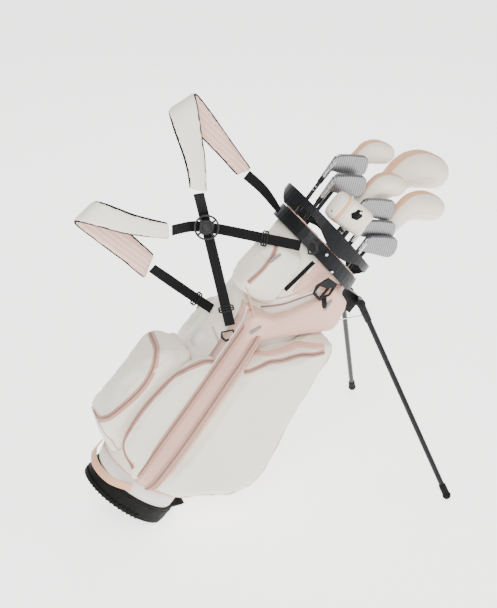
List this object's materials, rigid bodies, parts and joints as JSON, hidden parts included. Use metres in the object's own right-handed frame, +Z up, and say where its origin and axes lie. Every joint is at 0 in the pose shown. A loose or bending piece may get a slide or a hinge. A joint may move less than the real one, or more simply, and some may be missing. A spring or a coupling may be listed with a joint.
{
  "type": "golf club set",
  "caption": "Padded stand bag with a double-strap harness, leaning on two folding legs and holding covered woods, irons and a putter.",
  "frame": {"origin": "on the flat of the boot that the leaning bag rests on, in the middle of its width", "axes": "+Z up, +X from the boot towards the legs' feet, +Y across the bag towards its far side"},
  "size_m": [1.0149, 0.5726, 1.1057],
  "materials": {
    "cream": "soft matte coated fabric",
    "blush": "soft matte coated fabric",
    "tan": "smooth",
    "black": "fine grain",
    "charcoal": "satin",
    "steel": "satin",
    "gunmetal": "dark satin"
  },
  "bodies": {
    "bag": {"bag_shell": "cream", "ball_pocket": "cream", "base_boot": "black", "cooler_pocket": "cream", "cuff_collar": "charcoal", "cuff_hook": "black", "cuff_hoop": "charcoal", "cuff_lining": "blush", "divider_grid": "blush", "divider_sheet": "blush", "far_pocket": "cream", "grab_loop": "tan", "leg_bracket": "black", "long_strap_a": "black", "long_strap_b": "black", "lower_pad": "cream", "lower_strap": "black", "near_pocket": "cream", "side_hook": "black", "strap_hub": "charcoal", "upper_pad": "cream", "upper_pocket": "blush", "upper_strap": "black", "valuables_pocket": "cream"},
    "near_leg": {"near_leg_head": "black", "near_leg_tube": "black", "near_leg_foot": "black"},
    "far_leg": {"far_leg_head": "black", "far_leg_tube": "black", "far_leg_foot": "black"},
    "lever": {"toe_lever": "black"},
    "rod": {"actuator_rod": "steel"},
    "near_link": {"near_link": "steel"},
    "far_link": {"far_link": "steel"},
    "iron_one": {"iron_one_head": "steel", "iron_one_shaft": "black"},
    "iron_two": {"iron_two_head": "steel", "iron_two_shaft": "black"},
    "iron_three": {"iron_three_head": "steel", "iron_three_shaft": "black"},
    "iron_four": {"iron_four_head": "steel", "iron_four_shaft": "black"},
    "iron_five": {"iron_five_head": "steel", "iron_five_shaft": "black"},
    "putter": {"putter": "black", "putter_cover": "cream"},
    "driver": {"driver": "black", "driver_cover": "cream"},
    "fairway_wood": {"fairway_wood": "black", "fairway_wood_cover": "cream"},
    "hybrid_one": {"hybrid_one": "black", "hybrid_one_cover": "cream"},
    "hybrid_two": {"hybrid_two": "black", "hybrid_two_cover": "cream"},
    "towel_ring": {"towel_ring": "charcoal"},
    "panel_pull": {"panel_pull": "gunmetal"},
    "column_pull": {"column_pull": "gunmetal"},
    "valuables_pull": {"valuables_pull": "gunmetal"}
  },
  "joints": [
    {"name": "near_leg_fold", "type": "hinge", "parent": "bag", "child": "near_leg", "pos_m": [0.56643, -0.055, 0.51674], "axis": [0.3182, 0.9037, -0.2865], "range_deg": [0, 62]},
    {"name": "far_leg_fold", "type": "hinge", "parent": "bag", "child": "far_leg", "pos_m": [0.56643, 0.055, 0.51674], "axis": [-0.3182, 0.9037, 0.2865], "range_deg": [0, 62]},
    {"name": "lever_tilt", "type": "hinge", "parent": "bag", "child": "lever", "pos_m": [0.0145, 0, 0.0065], "axis": [0, 1, 0], "range_deg": [0, 42]},
    {"name": "rod_slide", "type": "slide", "parent": "bag", "child": "rod", "axis": [-0.6691, 0, -0.7431], "range_m": [0, 0.041]},
    {"name": "near_link_turn", "type": "hinge", "parent": "rod", "child": "near_link", "pos_m": [0.45894, -0.0225, 0.46012], "axis": [-0.2882, -0.9106, 0.2961], "range_deg": [0, 17.13]},
    {"name": "far_link_turn", "type": "hinge", "parent": "rod", "child": "far_link", "pos_m": [0.45894, 0.0225, 0.46012], "axis": [0.2882, -0.9106, -0.2961], "range_deg": [0, 17.13]},
    {"name": "iron_one_lift", "type": "slide", "parent": "bag", "child": "iron_one", "axis": [0.6388, 0, 0.7694], "range_m": [0, 0.25]},
    {"name": "iron_two_lift", "type": "slide", "parent": "bag", "child": "iron_two", "axis": [0.6388, 0, 0.7694], "range_m": [0, 0.25]},
    {"name": "iron_three_lift", "type": "slide", "parent": "bag", "child": "iron_three", "axis": [0.6691, 0, 0.7431], "range_m": [0, 0.25]},
    {"name": "iron_four_lift", "type": "slide", "parent": "bag", "child": "iron_four", "axis": [0.6691, 0, 0.7431], "range_m": [0, 0.25]},
    {"name": "iron_five_lift", "type": "slide", "parent": "bag", "child": "iron_five", "axis": [0.6691, 0, 0.7431], "range_m": [0, 0.25]},
    {"name": "putter_lift", "type": "slide", "parent": "bag", "child": "putter", "axis": [0.6691, 0, 0.7431], "range_m": [0, 0.25]},
    {"name": "driver_lift", "type": "slide", "parent": "bag", "child": "driver", "axis": [0.7071, 0, 0.7071], "range_m": [0, 0.25]},
    {"name": "fairway_wood_lift", "type": "slide", "parent": "bag", "child": "fairway_wood", "axis": [0.7314, 0, 0.682], "range_m": [0, 0.25]},
    {"name": "hybrid_one_lift", "type": "slide", "parent": "bag", "child": "hybrid_one", "axis": [0.6691, 0, 0.7431], "range_m": [0, 0.25]},
    {"name": "hybrid_two_lift", "type": "slide", "parent": "bag", "child": "hybrid_two", "axis": [0.6691, 0, 0.7431], "range_m": [0, 0.25]},
    {"name": "towel_ring_swing", "type": "hinge", "parent": "bag", "child": "towel_ring", "pos_m": [0.44055, -0.1405, 0.64892], "axis": [-0.7431, 0, 0.6691], "range_deg": [0, 80]},
    {"name": "panel_pull_slide", "type": "slide", "parent": "bag", "child": "panel_pull", "axis": [-0.9912, 0, -0.132], "range_m": [0, 0.1]},
    {"name": "column_pull_slide", "type": "slide", "parent": "bag", "child": "column_pull", "axis": [-0.6691, 0, -0.7431], "range_m": [0, 0.3]},
    {"name": "valuables_pull_slide", "type": "slide", "parent": "bag", "child": "valuables_pull", "axis": [-0.6691, 0, -0.7431], "range_m": [0, 0.09]}
  ],
  "couplings": [
    {"joint": "far_leg_fold", "follows": "near_leg_fold", "ratio": 1},
    {"joint": "lever_tilt", "follows": "near_leg_fold", "ratio": 0.67742},
    {"joint": "rod_slide", "follows": "near_leg_fold", "m_per_rad": 0.037704},
    {"joint": "near_link_turn", "follows": "near_leg_fold", "ratio": 0.27547},
    {"joint": "far_link_turn", "follows": "near_leg_fold", "ratio": 0.27547}
  ]
}
